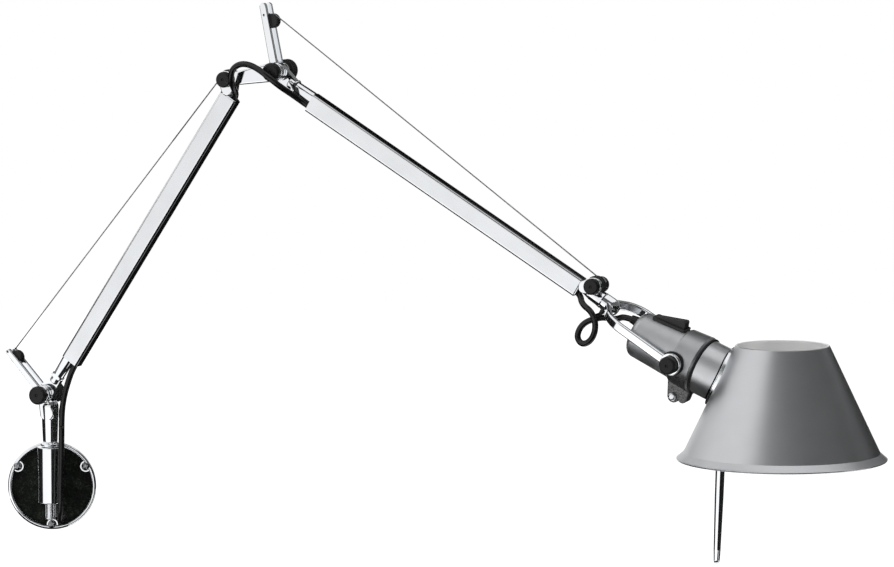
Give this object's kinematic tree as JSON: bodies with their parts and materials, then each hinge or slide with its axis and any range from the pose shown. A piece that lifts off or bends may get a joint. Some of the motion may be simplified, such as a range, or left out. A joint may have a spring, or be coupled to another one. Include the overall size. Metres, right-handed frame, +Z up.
{
  "type": "wall lamp",
  "caption": "Wall lamp with a swivelling bracket, two wire-balanced arms, a forked tilting head with a rocker switch and an open conical shade.",
  "frame": {"origin": "centre of the wall plate's back face", "axes": "+Z up, +Y into the wall, the lamp stands out of the wall towards -Y, +X to the right of someone facing the wall"},
  "size_m": [0.7736, 0.4155, 0.4854],
  "materials": {
    "polished_metal": "mirror-polished cast aluminium",
    "satin_tube": "satin anodised extrusion",
    "shade_metal": "satin anodised spun sheet",
    "housing_metal": "matt light grey coating",
    "clamp_metal": "dark grey cast surface",
    "plate_metal": "polished rim round a dark floor",
    "steel": "plain bright steel",
    "black_plastic": "moulded, fine grain",
    "grey_plastic": "moulded bush and nut",
    "cable_sheath": "smooth flexible sheath",
    "socket_ceramic": "glazed lampholder",
    "lamp_brass": "rolled screw base",
    "lamp_glass": "frosted bulb"
  },
  "bodies": {
    "wall": {"wall_plate": "plate_metal", "cable_grommet": "black_plastic", "swivel_housing": "polished_metal", "housing_bushes": "grey_plastic"},
    "stem": {"stem": "polished_metal", "spigot_nut": "grey_plastic", "base_fork": "polished_metal", "base_pins": "steel", "base_washers": "black_plastic", "base_caps": "black_plastic", "base_friction_disc": "black_plastic", "lower_wire_cam": "black_plastic", "cable_stem": "cable_sheath"},
    "lower_arm": {"lower_arm_foot": "polished_metal", "lower_arm_tube": "satin_tube", "lower_spring": "steel", "elbow_fork": "polished_metal", "elbow_pins": "steel", "elbow_washers": "black_plastic", "elbow_caps": "black_plastic", "elbow_friction_disc": "black_plastic", "upper_wire_cam": "black_plastic", "cable_base": "cable_sheath", "cable_lower_arm": "cable_sheath"},
    "lower_pulley": {"lower_pulley": "black_plastic"},
    "lower_wire": {"lower_wire": "steel"},
    "upper_arm": {"upper_arm_foot": "polished_metal", "upper_arm_tube": "satin_tube", "upper_spring": "steel", "arm_end_fitting": "polished_metal", "arm_end_pin": "steel", "arm_end_caps": "black_plastic", "yoke_bolt": "steel", "cable_elbow": "cable_sheath", "cable_upper_arm": "cable_sheath"},
    "upper_pulley": {"upper_pulley": "black_plastic"},
    "upper_wire": {"upper_wire": "steel"},
    "yoke": {"yoke": "polished_metal", "cable_clip": "black_plastic", "cable_loop": "cable_sheath"},
    "head": {"socket_housing": "housing_metal", "cable_gland": "black_plastic", "clamp_ring": "clamp_metal", "clamp_screw": "steel", "tilt_pins": "steel", "tilt_washers": "black_plastic", "tilt_caps": "black_plastic", "switch_frame": "black_plastic", "lampholder": "socket_ceramic", "bulb_base": "lamp_brass", "bulb_glass": "lamp_glass", "collar_seal": "black_plastic", "cable_head": "cable_sheath"},
    "rocker": {"rocker": "black_plastic"},
    "shade": {"shade": "shade_metal", "shade_collar": "polished_metal", "collar_nut": "black_plastic", "handle": "polished_metal"}
  },
  "joints": [
    {"name": "stem_turn", "type": "hinge", "parent": "wall", "child": "stem", "pos_m": [0, -0.024, 0], "axis": [0, 0, 1], "range_deg": [-149, 19], "deforming": ["cable_stem"]},
    {"name": "lower_arm_tilt", "type": "hinge", "parent": "stem", "child": "lower_arm", "pos_m": [-0.00462, -0.02184, 0.086], "axis": [-0.4226, -0.9063, 0], "range_deg": [-44, 35], "deforming": ["cable_base", "lower_wire", "lower_spring"]},
    {"name": "lower_wire_swing", "type": "hinge", "parent": "stem", "child": "lower_wire", "pos_m": [-0.03075, -0.00966, 0.1179], "axis": [-0.4226, -0.9063, 0], "range_deg": [-48, 39]},
    {"name": "lower_pulley_spin", "type": "hinge", "parent": "lower_arm", "child": "lower_pulley", "pos_m": [0.16627, -0.10153, 0.37685], "axis": [-0.4226, -0.9063, 0], "range_deg": [-246, 309]},
    {"name": "upper_arm_tilt", "type": "hinge", "parent": "lower_arm", "child": "upper_arm", "pos_m": [0.21014, -0.12199, 0.38502], "axis": [-0.4226, -0.9063, 0], "range_deg": [-28, 65], "deforming": ["cable_elbow", "upper_wire", "upper_spring"]},
    {"name": "upper_wire_swing", "type": "hinge", "parent": "lower_arm", "child": "upper_wire", "pos_m": [0.20549, -0.11982, 0.42943], "axis": [-0.4226, -0.9063, 0], "range_deg": [-29, 63]},
    {"name": "upper_pulley_spin", "type": "hinge", "parent": "upper_arm", "child": "upper_pulley", "pos_m": [0.48729, -0.25122, 0.20943], "axis": [-0.4226, -0.9063, 0], "range_deg": [-369, 161]},
    {"name": "yoke_turn", "type": "hinge", "parent": "upper_arm", "child": "yoke", "pos_m": [0.49399, -0.25435, 0.19637], "axis": [0.7809, -0.3641, -0.5075], "range_deg": [-120, 120], "deforming": ["cable_loop"]},
    {"name": "head_tilt", "type": "hinge", "parent": "yoke", "child": "head", "pos_m": [0.56271, -0.28639, 0.1517], "axis": [-0.4755, -0.8734, -0.105], "range_deg": [-70, 75], "deforming": ["cable_head"]},
    {"name": "shade_turn", "type": "hinge", "parent": "head", "child": "shade", "pos_m": [0.56271, -0.28639, 0.1517], "axis": [0.8297, -0.4056, -0.3836], "range_deg": [-170, 170]},
    {"name": "rocker_press", "type": "hinge", "parent": "head", "child": "rocker", "pos_m": [0.55074, -0.28327, 0.17987], "axis": [-0.4755, -0.8734, -0.105], "range_deg": [-10, 0]}
  ],
  "couplings": [
    {"joint": "lower_wire_swing", "follows": "lower_arm_tilt", "ratio": 1.0178},
    {"joint": "lower_pulley_spin", "follows": "lower_arm_tilt", "ratio": -6.932},
    {"joint": "upper_wire_swing", "follows": "upper_arm_tilt", "ratio": 0.9219},
    {"joint": "upper_pulley_spin", "follows": "upper_arm_tilt", "ratio": -5.616}
  ]
}
